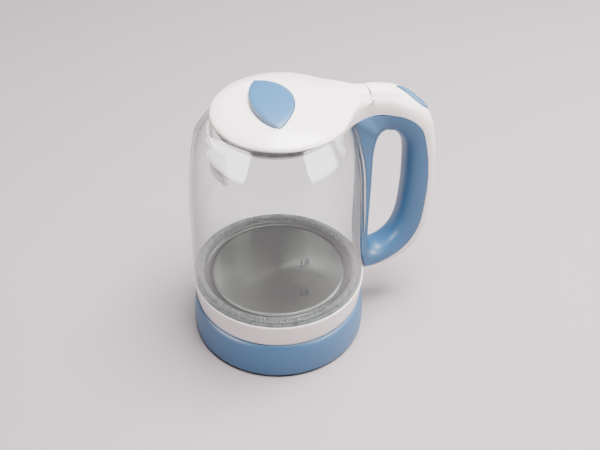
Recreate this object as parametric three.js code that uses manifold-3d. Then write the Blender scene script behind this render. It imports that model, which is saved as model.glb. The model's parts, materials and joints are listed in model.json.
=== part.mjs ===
// Cordless glass kettle on a round power base. Millimetres, +Z up, +X towards the handle and
// -X towards the spout. The origin is on the kettle's axis, on the surface that the feet stand on.
import * as THREE from 'three';
import { mergeVertices } from 'three/addons/utils/BufferGeometryUtils.js';
import Module from 'manifold-3d';

const wasm = await Module();
wasm.setup();

// ---- Driving dimensions ----
const GAP = 0.35; // clearance between touching pieces
const ROUND = 40; // sides of the large turned parts
const SMALL = 12; // sides of the small turned parts
const JUG_SIDES = 48; // sides of the jug and of what hugs it

const BASE_R = 74;
const BASE_TOP = 35;
const BASE_WALL = 2.5;
const COVER_Z = 2.5; // underside of the base cover
const PLATEAU_R = 30;
const PLATEAU_Z = 1;
const FOOT_R = 7;
const FOOT_RING = 58;
const SCREW_RING = 50;
const HEAD_R = 3;
const HEAD_H = 1.6;
const SHANK_R = 1.6;

const SOCKET_R = 21.5;
const SOCKET_TOP = 43;
const SLOT_R = [10, 13.4]; // ring slot of the power socket
const BORE_R = 3.4;
const CONTACT_Z = 31;

const RING_BOTTOM = BASE_TOP + GAP;
const RING_TOP = 58;
const RING_R = 72.8;
const UNDER_Z = 37; // underside of the kettle's bottom cover
const PLATE_Z = 56;
const PLATE_FLAT_R = 55.5;
const PLATE_R = 71;
const ELEMENT_R = 45;
const ELEMENT_TUBE = 3.2;
const ELEMENT_Z = 46.8;

const GLASS_WALL = 3;
const GLASS_BOTTOM = 58.6;
const RIM_Z = 212.5;
const GLASS_OUTER = [
  [71.6, GLASS_BOTTOM], [71.6, 100], [71.3, 125], [70.5, 145], [69.3, 162], [67.1, 176],
  [64.3, 188], [61.2, 196], [57.3, 203], [54.2, 208.4], [51.5, RIM_Z],
];
const SPOUT_START = 168; // height where the spout begins to leave the round wall
const SPOUT_REACH = 12; // how far the lip stands out beyond the rim
const SPOUT_HALF_ANGLE = THREE.MathUtils.degToRad(30);

const LID_X = 3; // centre of the lid's round cover
const LID_R = 53.5;
const LID_EDGE = [214.8, 217.2];
const LID_TOP = 227.6;
const LID_WALL = 2.4;
const TAB_TIP = [-7, 34.5];
const TAB_FRONT = -18.7;
const TAB_REAR = 13;
const TAB_FLOOR = 220.6;
const LINER_R = 46.3;

const PIVOT = [66.5, 221.8]; // X and Z of the lid's hinge axis
const SEAM_X = 70.5; // where the lid's tail meets the neck
const CROWN_Z = 225.5; // top of the tail and the neck at the seam
const VAULT_R = 64; // how round the tail is across its width
const BARREL_R = Math.hypot(SEAM_X - PIVOT[0], CROWN_Z - PIVOT[1]);
const LUG_Y = [4.9, 7.4];
const LUG_R = 2.6;
const PIN_R = 1.2;
const NECK_X = SEAM_X + 0.4;

// The grip, from the neck to the lower root: outer edge, inner edge (X, Z) and half width in Y.
const GRIP = [
  [[NECK_X, CROWN_Z], [NECK_X, 194], 12.1],
  [[84, 223.8], [84, 187], 12.9],
  [[99.3, 218.5], [93.5, 182.5], 14.2],
  [[115, 206], [101.5, 175], 14.5],
  [[126, 191.5], [106, 164], 14.5],
  [[132.4, 163], [107.8, 145], 14.5],
  [[135.2, 125], [108, 122], 14.5],
  [[134, 92], [106.3, 96], 14.5],
  [[127, 67], [101.5, 80], 14.5],
  [[112.5, 51.5], [94, 71], 14.5],
  [[92, 45], [86, 67], 14.2],
  [[70, 44], [74, 66.5], 14],
];
const GRIP_WALL = 2.6;
// The line where the outer cover meets the inner shell (X, Z).
const PARTING = [
  [66, 204.4], [78, 205.2], [89, 203], [99, 199.5], [109, 192.5], [116, 183], [120.5, 167], [124, 146.5],
  [125, 126], [124, 104], [121.6, 89], [114, 75], [103, 64], [85, 54], [66, 47],
];
const SPINE_T = 6.4;
const SPINE_HALF = 14;
// Half of the plan in which the lid narrows to the neck (X, Y).
const TAIL_PLAN = [
  [36, 41], [42, 36.6], [47, 30.4], [51, 25.6], [55, 21.2], [59, 17.4], [63, 14.4], [67, 12.7], [72, 12.1],
];
const SADDLE_SIDE = [[38, 214.4], [38, 213.2], [62, 204.6], [74, 204.6], [74, 214.4]];

const SWITCH_ENDS = [[97, 219.6], [124, 194.6]]; // ends of the leaf-shaped switch (X, Z)
const SWITCH_HALF = 7;
const SWITCH_PROUD = 0.9;
const SWITCH_DEPTH = 8.5;
const SWITCH_PIVOT_DEPTH = 3.6;

// ---- Colours and finishes ----
const look = (color, roughness, metalness = 0, opacity = 1) => ({ color, roughness, metalness, opacity });
const WHITE = look(0xf3eae9, 0.3);
const BLUE = look(0x6f9cc1, 0.42);
const BLACK = look(0x1d1d20, 0.55);
const RUBBER = look(0x2a2a2d, 0.85);
const STEEL = look(0xc4c5c8, 0.3, 1);
const BRASS = look(0xc9a24a, 0.35, 1);
const ALUMINIUM = look(0xb9bbbe, 0.45, 1);
const GLASS = look(0xe8f0f2, 0.05, 0, 0.3);
const SILICONE = look(0xe3e7e8, 0.4, 0, 0.6);
const MESH_STEEL = look(0xd5d7d9, 0.5, 0.6);
const WIRE_RED = look(0xa33a32, 0.5);
const WIRE_GREY = look(0x8d9096, 0.5);

// ---- Turning three.js geometry into solids and solids into named meshes ----
function toSolid(geometry) {
  const bare = geometry.clone();
  bare.deleteAttribute('normal');
  bare.deleteAttribute('uv');
  const merged = mergeVertices(bare, 1e-4);
  const position = merged.attributes.position.array;
  const triangles = [];
  const corner = [0, 1, 2].map(() => new THREE.Vector3());
  let volume = 0;
  for (let i = 0; i < merged.index.count; i += 3) {
    const [a, b, c] = [0, 1, 2].map((k) => merged.index.array[i + k]);
    if (a === b || b === c || c === a) continue;
    triangles.push(a, b, c);
    [a, b, c].forEach((v, k) => corner[k].fromArray(position, 3 * v));
    volume += corner[0].dot(corner[1].clone().cross(corner[2]));
  }
  if (volume < 0) triangles.reverse();
  return new wasm.Manifold(new wasm.Mesh({
    numProp: 3,
    vertProperties: new Float32Array(position),
    triVerts: new Uint32Array(triangles),
  }));
}

function named(name, solid, finish) {
  const { vertProperties, triVerts } = solid.getMesh();
  const geometry = new THREE.BufferGeometry();
  geometry.setAttribute('position', new THREE.BufferAttribute(new Float32Array(vertProperties), 3));
  geometry.setIndex(new THREE.BufferAttribute(new Uint32Array(triVerts), 1));
  geometry.computeVertexNormals();
  const material = new THREE.MeshStandardMaterial({
    ...finish,
    name,
    transparent: finish.opacity < 1,
  });
  const mesh = new THREE.Mesh(geometry, material);
  mesh.name = name;
  return mesh;
}

// ---- Shapes ----
function turned(profile, segments = ROUND, place = [0, 0, 0]) {
  const [first, last] = [profile[0], profile.at(-1)];
  const closed = first[0] === 0 && last[0] === 0 ? profile : [...profile, first];
  const geometry = new THREE.LatheGeometry(closed.map(([r, z]) => new THREE.Vector2(r, z)), segments);
  return toSolid(geometry.rotateX(Math.PI / 2).translate(...place));
}

const disc = (r, z0, z1, segments = ROUND, place = [0, 0, 0]) =>
  turned([[0, z0], [r, z0], [r, z1], [0, z1]], segments, place);

const tube = (r0, r1, z0, z1, segments = ROUND, place = [0, 0, 0]) =>
  turned([[r0, z0], [r1, z0], [r1, z1], [r0, z1]], segments, place);

// A rod along Y, centred at X and Z.
function rodY(r, x, z, y0, y1, segments = SMALL) {
  const geometry = new THREE.CylinderGeometry(r, r, y1 - y0, segments);
  return toSolid(geometry.translate(x, (y0 + y1) / 2, z));
}

function box(x0, x1, y0, y1, z0, z1) {
  const geometry = new THREE.BoxGeometry(x1 - x0, y1 - y0, z1 - z0);
  return toSolid(geometry.translate((x0 + x1) / 2, (y0 + y1) / 2, (z0 + z1) / 2));
}

const outline = (points) => new THREE.Shape(points.map(([u, v]) => new THREE.Vector2(u, v)));

// A flat outline in X and Z, carried along Y.
function prismY(points, y0, y1) {
  const geometry = new THREE.ExtrudeGeometry(outline(points), { depth: y1 - y0, bevelEnabled: false });
  return toSolid(geometry.rotateX(Math.PI / 2).translate(0, y1, 0));
}

// A plan in X and Y, carried along Z.
function prismZ(shape, z0, z1, curveSegments = 12) {
  const settings = { depth: z1 - z0, bevelEnabled: false, curveSegments };
  return toSolid(new THREE.ExtrudeGeometry(shape, settings).translate(0, 0, z0));
}

const mirrored = (half) => [...half, ...half.map(([x, y]) => [x, -y]).reverse()];

// A lens between two arcs that meet at tip and at its mirror image across the X axis.
function lens([tipX, tipY], frontX, rearX, steps = 9) {
  const arc = (apexX) => {
    const rise = apexX - tipX;
    const radius = (tipY * tipY + rise * rise) / (2 * Math.abs(rise));
    const centre = apexX - Math.sign(rise) * radius;
    const half = Math.asin(tipY / radius);
    return Array.from({ length: steps }, (_, i) => {
      const angle = half * (1 - (2 * i) / steps);
      return [centre + Math.sign(rise) * radius * Math.cos(angle), radius * Math.sin(angle)];
    });
  };
  return [...arc(rearX), ...arc(frontX).map(([x, y]) => [x, -y])];
}

// A skin through rings of points, closed by a fan at each end.
function loft(rings) {
  const count = rings[0].length;
  const vertices = rings.flat().flatMap((p) => [p.x, p.y, p.z]);
  const index = [];
  for (let i = 0; i + 1 < rings.length; i += 1) {
    for (let k = 0; k < count; k += 1) {
      const [a, b] = [i * count + k, i * count + ((k + 1) % count)];
      index.push(a, b, b + count, a, b + count, a + count);
    }
  }
  const last = (rings.length - 1) * count;
  for (let k = 1; k + 1 < count; k += 1) {
    index.push(0, k + 1, k, last, last + k, last + k + 1);
  }
  const geometry = new THREE.BufferGeometry();
  geometry.setAttribute('position', new THREE.Float32BufferAttribute(vertices, 3));
  geometry.setIndex(index);
  return toSolid(geometry);
}

// ---- Base ----
// A screw driven upwards, with the underside of its head at z.
function screw(x, y, z, length) {
  const profile = [[0, 0], [HEAD_R, 0], [HEAD_R, HEAD_H], [SHANK_R, HEAD_H], [SHANK_R, length], [0, length]];
  return turned(profile, SMALL, [x, y, z]);
}

const onRing = (radius, count, start) => Array.from({ length: count }, (_, i) => {
  const angle = start + (2 * Math.PI * i) / count;
  return [radius * Math.cos(angle), radius * Math.sin(angle)];
});
const FEET = onRing(FOOT_RING, 4, Math.PI / 4);
const BASE_SCREWS = onRing(SCREW_RING, 3, Math.PI / 2);
const BODY_SCREWS = onRing(57, 3, 0);

function baseShell() {
  const inner = BASE_R - BASE_WALL;
  const shell = turned([
    [BASE_R - 0.8, 2], [BASE_R, 4.5], [BASE_R, 12], [BASE_R - 0.6, 22], [BASE_R - 1.4, 29],
    [BASE_R - 2.6, 33.2], [BASE_R - 4.5, BASE_TOP], [66, BASE_TOP], [64, BASE_TOP - 1.5],
    [SOCKET_R + GAP, BASE_TOP - 1.5], [SOCKET_R + GAP, BASE_TOP - 4], [inner - 4.5, BASE_TOP - 4],
    [inner - 1, 26], [inner, 18], [inner, 2],
  ]);
  return shell.subtract(box(-6.3, 6.3, inner - 4, BASE_R + 2, 0, 12.3));
}

function baseBottomCover() {
  let cover = turned([
    [0, PLATEAU_Z], [PLATEAU_R, PLATEAU_Z], [PLATEAU_R + 1.5, COVER_Z],
    [BASE_R - BASE_WALL - GAP, COVER_Z],
    [BASE_R - BASE_WALL - GAP, COVER_Z + 2.2], [0, COVER_Z + 2.2],
  ]);
  for (const [x, y] of BASE_SCREWS) cover = cover.subtract(disc(1.95, 0, 8, SMALL, [x, y, 0]));
  return cover;
}

function baseSocket() {
  const [slotIn, slotOut] = SLOT_R;
  return turned([
    [0, 26], [SOCKET_R, 26], [SOCKET_R, SOCKET_TOP - 1.5], [SOCKET_R - 1.5, SOCKET_TOP],
    [slotOut, SOCKET_TOP],
    [slotOut, CONTACT_Z - 1.5], [slotIn, CONTACT_Z - 1.5], [slotIn, SOCKET_TOP], [BORE_R, SOCKET_TOP],
    [BORE_R, CONTACT_Z - 1.5], [0, CONTACT_Z - 1.5],
  ], ROUND);
}

const socketRingContact = () =>
  tube(SLOT_R[0] + GAP, SLOT_R[1] - GAP, CONTACT_Z - 1.5 + GAP, CONTACT_Z, 32);
const socketPinContact = () => disc(BORE_R - GAP, CONTACT_Z - 1.5 + GAP, CONTACT_Z, SMALL);

function cordGland() {
  const outer = box(-6, 6, BASE_R - 8, BASE_R + 0.6, 5, 12);
  const hole = toSolid(new THREE.CylinderGeometry(2.6, 2.6, 12, SMALL).translate(0, BASE_R - 3, 8.5));
  return outer.subtract(hole);
}

// ---- Coupler, the round plug that the kettle turns on ----
function kettleCoupler() {
  return turned([
    [0, SOCKET_TOP + 1], [2.4 + GAP, SOCKET_TOP + 1], [10.8 - GAP, SOCKET_TOP + 1],
    [10.8 - GAP, SOCKET_TOP + 2.2], [12.6 + GAP, SOCKET_TOP + 2.2], [12.6 + GAP, SOCKET_TOP + 1],
    [23.4, SOCKET_TOP + 1], [23.4, 49.6], [0, 49.6],
  ], ROUND);
}
const couplerCentrePin = () => turned([
  [0, CONTACT_Z + GAP], [1.6, CONTACT_Z + GAP], [2.4, CONTACT_Z + 1.4], [2.4, SOCKET_TOP + 1 - GAP],
  [0, SOCKET_TOP + 1 - GAP],
], SMALL);
const couplerRingContact = () => tube(10.8, 12.6, CONTACT_Z + GAP, SOCKET_TOP + 2.2 - GAP, 32);

// ---- Lower body and heater ----
function bodyRing() {
  return turned([
    [68.9, RING_BOTTOM], [69.9, RING_BOTTOM], [70.6, RING_BOTTOM + 1], [71.4, 44], [RING_R - 0.5, 51],
    [RING_R, 57], [RING_R - 0.4, RING_TOP], [PLATE_R + 0.5, RING_TOP], [PLATE_R + 0.5, 54],
    [69, 53], [68.6, 42], [68.6, 40],
  ]);
}

function bodyBottomCover() {
  let cover = tube(24, 68.2, UNDER_Z, UNDER_Z + 2.2);
  for (const [x, y] of BODY_SCREWS) cover = cover.subtract(disc(1.95, 30, 45, SMALL, [x, y, 0]));
  return cover;
}

const controlBlock = () => tube(24, 34, UNDER_Z + 2.2 + GAP, 49.4, 40);
const heatSpreader = () => disc(54, 50.6, 53.2);

function heatingPlate() {
  return turned([
    [0, 53.6], [56, 53.6], [60, 52.6], [PLATE_R, 54.3], [PLATE_R, 55.6],
    [64.5, 55.6], [62.6, 56.6], [61.2, 55.2], [59.5, 54.2], [57.6, 54.4],
    [PLATE_FLAT_R + 0.8, 55.5], [PLATE_FLAT_R, PLATE_Z], [0, PLATE_Z],
  ]);
}

function heatingElement() {
  const rings = Array.from({ length: 25 }, (_, i) => {
    const turn = THREE.MathUtils.degToRad(200 + (320 * i) / 24);
    return Array.from({ length: 8 }, (_, k) => {
      const a = (2 * Math.PI * k) / 8;
      const r = ELEMENT_R + ELEMENT_TUBE * Math.cos(a);
      const z = ELEMENT_Z + ELEMENT_TUBE * Math.sin(a);
      return new THREE.Vector3(r * Math.cos(turn), r * Math.sin(turn), z);
    });
  });
  return loft(rings);
}

function elementTerminal(side) {
  const turn = THREE.MathUtils.degToRad(180 + side * 16);
  const rod = new THREE.CylinderGeometry(1.5, 1.5, 6, SMALL);
  rod.rotateX(Math.PI / 2).translate(ELEMENT_R * Math.cos(turn), ELEMENT_R * Math.sin(turn), ELEMENT_Z - 3);
  return toSolid(rod);
}

const sealRing = () => turned([
  [63.7, PLATE_Z + 0.1], [PLATE_R, PLATE_Z + 0.1], [PLATE_R, GLASS_BOTTOM - 0.4],
  [68.3, GLASS_BOTTOM - 0.4], [68.3, 61.4], [67, 62.8], [64.2, 62.6], [63.2, 60.8],
]);

// ---- Glass jug ----
function spoutPush(z, angleFromSpout) {
  const up = THREE.MathUtils.clamp((z - SPOUT_START) / (RIM_Z - SPOUT_START), 0, 1);
  const across = THREE.MathUtils.clamp(1 - Math.abs(angleFromSpout) / SPOUT_HALF_ANGLE, 0, 1);
  return SPOUT_REACH * up ** 1.7 * across ** 1.35;
}

function glassJug() {
  const inner = GLASS_OUTER.map(([r, z]) => [r - GLASS_WALL, z]).reverse();
  const profile = [...GLASS_OUTER, ...inner, GLASS_OUTER[0]];
  const geometry = new THREE.LatheGeometry(profile.map(([r, z]) => new THREE.Vector2(r, z)), JUG_SIDES);
  geometry.rotateX(Math.PI / 2);
  const position = geometry.attributes.position;
  const point = new THREE.Vector3();
  for (let i = 0; i < position.count; i += 1) {
    point.fromBufferAttribute(position, i);
    const angle = Math.atan2(point.y, -point.x);
    const radius = Math.hypot(point.x, point.y);
    const scale = 1 + spoutPush(point.z, angle) / radius;
    position.setXY(i, point.x * scale, point.y * scale);
  }
  return toSolid(geometry);
}

// The jug and the lower ring as one round block, grown by a margin, for trimming what hugs them.
function jugBlock(margin) {
  const wall = GLASS_OUTER.slice(1).map(([r, z]) => [r + margin, z]);
  return turned([
    [0, 30], [RING_R + margin, 30], [RING_R + margin, RING_TOP + margin],
    [GLASS_OUTER[0][0] + margin, RING_TOP + margin], ...wall, [51.5 + margin, 216], [0, 216],
  ], JUG_SIDES);
}

// ---- Spout filter ----
function ringSector(r0, r1, halfAngle) {
  const shape = new THREE.Shape();
  shape.absarc(0, 0, r1, Math.PI - halfAngle, Math.PI + halfAngle, false);
  shape.absarc(0, 0, r0, Math.PI + halfAngle, Math.PI - halfAngle, true);
  return shape;
}
const FILTER_Z = [173, 202];
const FILTER_WINDOW = [177, 198];
function spoutFilterFrame() {
  const frame = prismZ(ringSector(50.2, 53, 0.46), ...FILTER_Z);
  return frame.subtract(prismZ(ringSector(48, 56, 0.39), ...FILTER_WINDOW));
}
const spoutFilterMesh = () =>
  prismZ(ringSector(51.3, 51.9, 0.383), FILTER_WINDOW[0] + GAP, FILTER_WINDOW[1] - GAP);

// ---- Handle ----
const curve = (points) => new THREE.CatmullRomCurve3(points.map(([x, z]) => new THREE.Vector3(x, 0, z)));

// The rings of a loft that follows the grip, with the outer edge grown by proud and all of it
// thinned by wall.
function gripRings({ from = 0, to = 1, stations = 24, sides = 16, wall = 0, proud = 0, shape = 2.35 }) {
  const outer = curve(GRIP.map((row) => row[0]));
  const inner = curve(GRIP.map((row) => row[1]));
  const half = curve(GRIP.map((row) => [row[2], 0]));
  const rounded = (v) => Math.sign(v) * Math.abs(v) ** (2 / shape);
  return Array.from({ length: stations }, (_, i) => {
    const t = from + ((to - from) * i) / (stations - 1);
    const [o, n, b] = [outer.getPoint(t), inner.getPoint(t), half.getPoint(t).x - wall + proud];
    const middle = o.clone().add(n).multiplyScalar(0.5);
    const across = o.clone().sub(n);
    const a = across.length() / 2 - wall + proud;
    across.normalize();
    return Array.from({ length: sides }, (_, k) => {
      const turn = (2 * Math.PI * k) / sides;
      const point = middle.clone().addScaledVector(across, a * rounded(Math.cos(turn)));
      return point.setY(b * rounded(Math.sin(turn)));
    });
  });
}

const gripBody = () => loft(gripRings({}));
const gripHollow = () => loft(gripRings({ from: 0.1, to: 0.9, wall: GRIP_WALL, stations: 20, sides: 12 }));

// Everything on one side of the parting line: side is 1 for the outer cover and -1 for the inner shell.
function partingSide(side) {
  const line = curve(PARTING);
  const edge = line.getPoints(28).map((p, i, all) => {
    const along = all[Math.min(i + 1, all.length - 1)].clone().sub(all[Math.max(i - 1, 0)]).normalize();
    return [p.x - (side * GAP * along.z) / 2, p.z + (side * GAP * along.x) / 2];
  });
  edge[0][0] = 30;
  edge.at(-1)[0] = 30;
  const around = side > 0 ? [[30, 20], [170, 20], [170, 250], [30, 250]] : [];
  return prismY([...edge, ...around], -40, 40);
}

const SWITCH_FRAME = (() => {
  const [a, b] = SWITCH_ENDS.map(([x, z]) => new THREE.Vector3(x, 0, z));
  const along = b.clone().sub(a);
  const length = along.length();
  along.normalize();
  const up = new THREE.Vector3(-along.z, 0, along.x);
  return { centre: a.add(b).multiplyScalar(0.5), along, up, half: length / 2 };
})();

// The leaf outline of the switch, grown by margin, as a block through the cover.
function leafBlock(margin, down, up) {
  const { centre, along, up: normal, half } = SWITCH_FRAME;
  const plan = lens([0, half + margin], -SWITCH_HALF - margin, SWITCH_HALF + margin);
  const geometry = new THREE.ExtrudeGeometry(outline(plan), { depth: down + up, bevelEnabled: false });
  geometry.translate(0, 0, -down);
  const across = new THREE.Vector3().crossVectors(along, normal);
  geometry.applyMatrix4(new THREE.Matrix4().makeBasis(across, along, normal).setPosition(centre));
  return toSolid(geometry);
}

const SWITCH_PIVOT = SWITCH_FRAME.centre.clone().addScaledVector(SWITCH_FRAME.up, -SWITCH_PIVOT_DEPTH);

function switchRocker() {
  const skin = loft(gripRings({ proud: SWITCH_PROUD, sides: 24 }));
  const bore = rodY(PIN_R + 0.15, SWITCH_PIVOT.x, SWITCH_PIVOT.z, -20, 20, 12);
  return leafBlock(0, SWITCH_DEPTH, 12).intersect(skin).subtract(bore);
}

const HANDLE_SCREWS = [[87, -6], [87, 6]];
const HANDLE_SCREW_Z = 46.4;
function screwHoles() {
  const holes = HANDLE_SCREWS.map(([x, y]) => turned([
    [0, 30], [3.4, 30], [3.4, HANDLE_SCREW_Z + 2], [1.95, HANDLE_SCREW_Z + 2], [1.95, 59.5], [0, 59.5],
  ], SMALL, [x, y, 0]));
  return holes[0].add(holes[1]);
}

// The hinge lugs that stand up inside the lid's barrel.
function hingeLug(side) {
  const [y0, y1] = side > 0 ? LUG_Y : [-LUG_Y[1], -LUG_Y[0]];
  const [x, z] = PIVOT;
  const lug = rodY(LUG_R, x, z, y0, y1).add(box(x - 1.3, x + 1.3, y0, y1, z - 9, z));
  return lug.subtract(rodY(PIN_R + 0.15, x, z, -20, 20, 12));
}

// The fixed part under the lid's tail: a saddle on the glass and the hollow that the barrel turns in.
function saddle() {
  const plan = outline(mirrored(TAIL_PLAN));
  const block = box(PIVOT[0] + 0.4, NECK_X + 2, -40, 40, 206, PIVOT[1]);
  return prismY(SADDLE_SIDE, -50, 50).add(block).intersect(prismZ(plan, 200, 230))
    .subtract(rodY(BARREL_R + 0.4, ...PIVOT, -30, 30, 40));
}

function handleCover() {
  const room = rodY(BARREL_R + 0.4, ...PIVOT, -30, 30, 40).add(gripHollow());
  let cover = gripBody().subtract(room).add(saddle());
  cover = cover.intersect(partingSide(1)).subtract(jugBlock(GAP));
  cover = cover.add(hingeLug(1)).add(hingeLug(-1)).subtract(leafBlock(0.9, 14, 20));
  cover = cover.subtract(rodY(PIN_R + 0.2, SWITCH_PIVOT.x, SWITCH_PIVOT.z, -9.5, 9.5, 12));
  return cover.subtract(screwHoles());
}

function handleShell() {
  const bounds = GLASS_OUTER.filter(([, z]) => z > 90);
  const back = bounds.map(([r, z]) => [r + SPINE_T, z]).reverse();
  const strip = turned([[40, 50], [40, 215], ...back, [GLASS_OUTER[0][0] + SPINE_T, 50]], JUG_SIDES);
  const spine = strip.intersect(box(62.3, 90, -SPINE_HALF, SPINE_HALF, 60, 203.4));
  const loop = gripBody().subtract(gripHollow());
  const shell = loop.add(spine).intersect(partingSide(-1));
  return shell.subtract(jugBlock(GAP)).subtract(screwHoles());
}

function handleWire(y) {
  const rings = gripRings({ from: 0.36, to: 0.86, stations: 16, sides: 6 }).map((ring) => {
    const middle = ring.reduce((sum, p) => sum.add(p), new THREE.Vector3());
    middle.multiplyScalar(1 / ring.length);
    const aside = middle.clone().add(new THREE.Vector3(0, y, 0));
    return ring.map((p) => p.clone().sub(middle).setLength(1.1).add(aside));
  });
  return loft(rings);
}

const steamSwitchHousing = () => box(100, 111, -7, 7, 183, 192.6);
const bimetalDisc = () => disc(5.5, 181.4, 182.2, 24, [105.5, 0, 0]);

// ---- Lid ----
const domeProfile = (drop) => [
  [0, LID_TOP - drop], [16, LID_TOP - 0.6 - drop], [30, LID_TOP - 2.4 - drop], [41, LID_TOP - 5 - drop],
  [48.5, LID_TOP - 7.9 - drop], [LID_R - drop * 1.1, LID_EDGE[1] - (drop ? 0.8 : 0)],
];

function scoopBall(margin) {
  const ball = new THREE.SphereGeometry(1, 28, 14).scale(19 + margin, 26 + margin, 8.5 + margin);
  return toSolid(ball.translate(-31, 0, 227.5));
}

function lidTail() {
  const side = prismY([
    [30, LID_EDGE[0]], [PIVOT[0], LID_EDGE[0]], [PIVOT[0], CROWN_Z],
    [56, 225.7], [44, 225.2], [30, 224.5],
  ], -50, 50);
  const barrel = rodY(BARREL_R, ...PIVOT, -30, 30, 40).intersect(box(50, 90, -40, 40, 200, CROWN_Z));
  const vault = new THREE.CylinderGeometry(VAULT_R, VAULT_R, 80, 96).rotateZ(Math.PI / 2);
  vault.translate(50, 0, CROWN_Z + 0.2 - VAULT_R);
  const plan = prismZ(outline(mirrored(TAIL_PLAN)), 210, 235);
  return side.add(barrel).intersect(plan).intersect(toSolid(vault));
}

// The room that the fixed lugs and the pin need inside the barrel as the lid turns.
function lugSlots() {
  const [x, z] = PIVOT;
  const fan = [[x, z]];
  for (let deg = -126; deg <= 12; deg += 11.5) {
    const angle = THREE.MathUtils.degToRad(deg);
    fan.push([x + 14 * Math.cos(angle), z + 14 * Math.sin(angle)]);
  }
  let room = rodY(PIN_R + 0.15, x, z, -9.6, 9.6, 12);
  for (const [y0, y1] of [LUG_Y, [-LUG_Y[1], -LUG_Y[0]]]) {
    room = room.add(rodY(LUG_R + 0.4, x, z, y0 - 0.4, y1 + 0.4)).add(prismY(fan, y0 - 0.4, y1 + 0.4));
  }
  return room;
}

const LID_SCREWS = [[-18, 24], [-18, -24]];
const tabPlan = (margin) => outline(
  lens([TAB_TIP[0], TAB_TIP[1] + margin], TAB_FRONT - margin, TAB_REAR + margin),
);

function lidCover() {
  const place = [LID_X, 0, 0];
  const dome = turned([[0, LID_EDGE[0]], [LID_R, LID_EDGE[0]], ...domeProfile(0).reverse()], 48, place);
  const room = turned([[0, 200], [LID_R - 2.6, 200], ...domeProfile(LID_WALL).reverse()], 48, place);
  const pocket = prismZ(tabPlan(GAP), TAB_FLOOR - GAP, 240);
  const hollow = room.subtract(scoopBall(LID_WALL)).subtract(prismZ(tabPlan(2.4), TAB_FLOOR - 2.4, 240))
    .subtract(box(49, 80, -40, 40, 200, 240));
  let cover = dome.add(lidTail()).subtract(hollow).subtract(pocket);
  cover = cover.subtract(scoopBall(0)).subtract(lugSlots());
  for (const [x, y] of LID_SCREWS) {
    cover = cover.add(tube(1.8, 4, 206.5, 222, SMALL, [x, y, 0]).subtract(scoopBall(0.5)));
  }
  return cover.subtract(disc(LINER_R + 4.5, 200, 214.7).subtract(disc(LINER_R - 2, 190, 230)));
}

function lidTab() {
  const skin = turned([[0, 200], [LID_R, 200], ...domeProfile(-0.9).reverse()], 48, [LID_X, 0, 0]);
  return prismZ(tabPlan(0), TAB_FLOOR, 240).intersect(skin);
}

function lidLiner() {
  let liner = turned([
    [0, 203], [44, 203], [LINER_R, 205.5], [LINER_R, 213.2], [50.3, 213.2], [50.3, 214.3],
    [LINER_R - 1.8, 214.3], [LINER_R - 1.8, 206.6], [42.4, 205], [0, 205],
  ]);
  for (const [x, y] of LID_SCREWS) liner = liner.subtract(disc(1.95, 190, 206, SMALL, [x, y, 0]));
  return liner;
}

const lidSeal = () => turned([
  [LINER_R + GAP, 206.4], [46.9, 206.4], [48, 209.6], [48, 212.9], [LINER_R + GAP, 212.9],
]);

// ---- Assembly ----
const powerBase = new THREE.Group();
powerBase.add(
  named('base_shell', baseShell(), BLUE),
  named('base_bottom_cover', baseBottomCover(), BLACK),
  named('base_socket', baseSocket(), BLACK),
  named('socket_ring_contact', socketRingContact(), BRASS),
  named('socket_pin_contact', socketPinContact(), BRASS),
  named('cord_gland', cordGland(), BLACK),
);
FEET.forEach(([x, y], i) => {
  powerBase.add(named(`base_foot_${i + 1}`, disc(FOOT_R, 0, COVER_Z - GAP, SMALL, [x, y, 0]), RUBBER));
});
BASE_SCREWS.forEach(([x, y], i) => {
  powerBase.add(named(`base_screw_${i + 1}`, screw(x, y, COVER_Z - GAP - 1.6, 9), STEEL));
});

const coupler = new THREE.Group();
coupler.add(
  named('kettle_coupler', kettleCoupler(), BLACK),
  named('coupler_centre_pin', couplerCentrePin(), BRASS),
  named('coupler_ring_contact', couplerRingContact(), BRASS),
);

const jug = new THREE.Group();
jug.add(
  named('body_ring', bodyRing(), WHITE),
  named('body_bottom_cover', bodyBottomCover(), WHITE),
  named('control_block', controlBlock(), BLACK),
  named('heat_spreader', heatSpreader(), ALUMINIUM),
  named('heating_element', heatingElement(), ALUMINIUM),
  named('element_terminal_1', elementTerminal(1), BRASS),
  named('element_terminal_2', elementTerminal(-1), BRASS),
  named('heating_plate', heatingPlate(), STEEL),
  named('seal_ring', sealRing(), SILICONE),
  named('glass_jug', glassJug(), GLASS),
  named('spout_filter_frame', spoutFilterFrame(), WHITE),
  named('spout_filter_mesh', spoutFilterMesh(), MESH_STEEL),
  named('handle_cover', handleCover(), WHITE),
  named('handle_shell', handleShell(), BLUE),
  named('handle_wire_1', handleWire(-2.6), WIRE_RED),
  named('handle_wire_2', handleWire(2.6), WIRE_GREY),
  named('steam_switch_housing', steamSwitchHousing(), BLACK),
  named('bimetal_disc', bimetalDisc(), STEEL),
  named('rocker_pin', rodY(PIN_R, SWITCH_PIVOT.x, SWITCH_PIVOT.z, -9, 9, 12), STEEL),
  named('lid_hinge_pin', rodY(PIN_R, ...PIVOT, -9, 9, 12), STEEL),
);
BODY_SCREWS.forEach(([x, y], i) => {
  jug.add(named(`body_screw_${i + 1}`, screw(x, y, UNDER_Z - GAP - 1.6, 10), STEEL));
});
HANDLE_SCREWS.forEach(([x, y], i) => {
  jug.add(named(`handle_screw_${i + 1}`, screw(x, y, HANDLE_SCREW_Z, 12), STEEL));
});

const handSwitch = new THREE.Group();
handSwitch.add(named('switch_rocker', switchRocker(), BLUE));

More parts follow.
